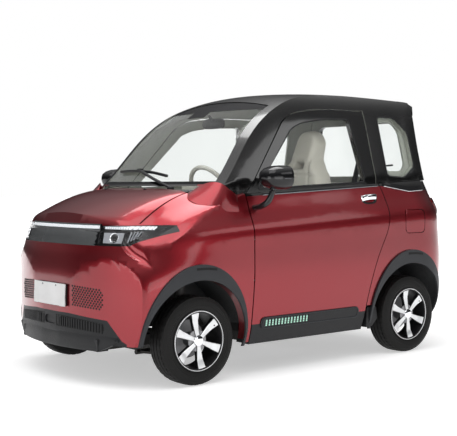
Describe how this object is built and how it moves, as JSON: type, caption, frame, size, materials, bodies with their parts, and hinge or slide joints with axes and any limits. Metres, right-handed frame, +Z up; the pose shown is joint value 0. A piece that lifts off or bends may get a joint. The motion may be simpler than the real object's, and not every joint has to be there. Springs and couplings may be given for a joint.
{
  "type": "electric microcar",
  "caption": "Electric microcar with hinged doors, bonnet, tailgate and charging flap, steered front wheels and freely turning wheels.",
  "frame": {"origin": "on the floor under the middle of the car", "axes": "front is -Y, the left side of the car is +X, +Z is up"},
  "size_m": [1.8222, 2.625, 1.6647],
  "materials": {
    "red_paint": "metallic gloss",
    "satin_black_roof": "satin",
    "matte_black": "matte",
    "gloss_black": "gloss",
    "chrome_trim": "polished",
    "lamp_clear": "gloss",
    "lamp_red": "gloss",
    "clear_glass": "clear",
    "machined_alloy": "machined",
    "tyre_rubber": "matte",
    "frame_steel": "satin",
    "cast_case": "satin",
    "cabin_plastic": "matte",
    "seat_leather": "satin"
  },
  "bodies": {
    "car": {"arch_flares": "matte_black", "battery_pack": "cast_case", "chassis_frame": "frame_steel", "cowl": "matte_black", "dashboard": "cabin_plastic", "drive_motor": "cast_case", "floor_pan": "frame_steel", "front_body": "red_paint", "front_bumper": "matte_black", "front_lamps": "lamp_clear", "front_seats": "seat_leather", "front_suspension": "frame_steel", "glazing": "clear_glass", "rear_axle": "frame_steel", "rear_body": "red_paint", "rear_bumper": "matte_black", "rear_seat": "seat_leather", "roof": "satin_black_roof", "seat_bases": "frame_steel", "tail_lamps": "lamp_red", "wheel_liners": "matte_black", "wiper": "matte_black"},
    "door_left": {"door_panel_left": "red_paint", "door_glass_left": "clear_glass", "door_trim_left": "matte_black", "door_mirror_left": "gloss_black", "door_handle_left": "chrome_trim"},
    "door_right": {"door_panel_right": "red_paint", "door_glass_right": "clear_glass", "door_trim_right": "matte_black", "door_mirror_right": "gloss_black", "door_handle_right": "chrome_trim"},
    "bonnet_lid": {"bonnet": "red_paint"},
    "tailgate_door": {"tailgate": "red_paint", "tailgate_glass": "clear_glass"},
    "flap": {"charge_flap": "red_paint"},
    "steer_left": {"knuckle_left": "frame_steel"},
    "steer_right": {"knuckle_right": "frame_steel"},
    "rack": {"steering_rack": "frame_steel"},
    "helm": {"steering_wheel": "cabin_plastic"},
    "wheel_fl": {"wheel_front_left": "machined_alloy", "tyre_front_left": "tyre_rubber"},
    "wheel_fr": {"wheel_front_right": "machined_alloy", "tyre_front_right": "tyre_rubber"},
    "wheel_rl": {"wheel_rear_left": "machined_alloy", "tyre_rear_left": "tyre_rubber"},
    "wheel_rr": {"wheel_rear_right": "machined_alloy", "tyre_rear_right": "tyre_rubber"}
  },
  "joints": [
    {"name": "left_door_swing", "type": "hinge", "parent": "car", "child": "door_left", "pos_m": [0.728, -0.361, 0.675], "axis": [0, 0, 1], "range_deg": [-65, 0]},
    {"name": "right_door_swing", "type": "hinge", "parent": "car", "child": "door_right", "pos_m": [-0.728, -0.361, 0.675], "axis": [0, 0, 1], "range_deg": [0, 65]},
    {"name": "bonnet_lift", "type": "hinge", "parent": "car", "child": "bonnet_lid", "pos_m": [0, -0.733, 1.024], "axis": [1, 0, 0], "range_deg": [-45, 0]},
    {"name": "tailgate_lift", "type": "hinge", "parent": "car", "child": "tailgate_door", "pos_m": [0, 1.2, 1.56], "axis": [1, 0, 0], "range_deg": [0, 70]},
    {"name": "charge_flap_swing", "type": "hinge", "parent": "car", "child": "flap", "pos_m": [0.736, 0.841, 0.8385], "axis": [0, 0, 1], "range_deg": [-90, 0]},
    {"name": "left_wheel_steer", "type": "hinge", "parent": "car", "child": "steer_left", "pos_m": [0.54, -0.801, 0.244], "axis": [0, 0, 1], "range_deg": [-30, 30]},
    {"name": "right_wheel_steer", "type": "hinge", "parent": "car", "child": "steer_right", "pos_m": [-0.54, -0.801, 0.244], "axis": [0, 0, 1], "range_deg": [-30, 30]},
    {"name": "rack_slide", "type": "slide", "parent": "car", "child": "rack", "axis": [1, 0, 0], "range_m": [-0.06, 0.06]},
    {"name": "steering_wheel_turn", "type": "hinge", "parent": "car", "child": "helm", "pos_m": [0.285, -0.372, 1.03], "axis": [0, 0.891, 0.454], "range_deg": [-430, 430]},
    {"name": "front_left_spin", "type": "hinge", "parent": "steer_left", "child": "wheel_fl", "pos_m": [0.651, -0.801, 0.244], "axis": [1, 0, 0], "continuous": true},
    {"name": "front_right_spin", "type": "hinge", "parent": "steer_right", "child": "wheel_fr", "pos_m": [-0.651, -0.801, 0.244], "axis": [1, 0, 0], "continuous": true},
    {"name": "rear_left_spin", "type": "hinge", "parent": "car", "child": "wheel_rl", "pos_m": [0.651, 0.879, 0.244], "axis": [1, 0, 0], "continuous": true},
    {"name": "rear_right_spin", "type": "hinge", "parent": "car", "child": "wheel_rr", "pos_m": [-0.651, 0.879, 0.244], "axis": [1, 0, 0], "continuous": true}
  ],
  "couplings": [
    {"joint": "right_wheel_steer", "follows": "left_wheel_steer", "ratio": 1},
    {"joint": "rack_slide", "follows": "left_wheel_steer", "m_per_rad": -0.105},
    {"joint": "steering_wheel_turn", "follows": "left_wheel_steer", "ratio": 14}
  ]
}
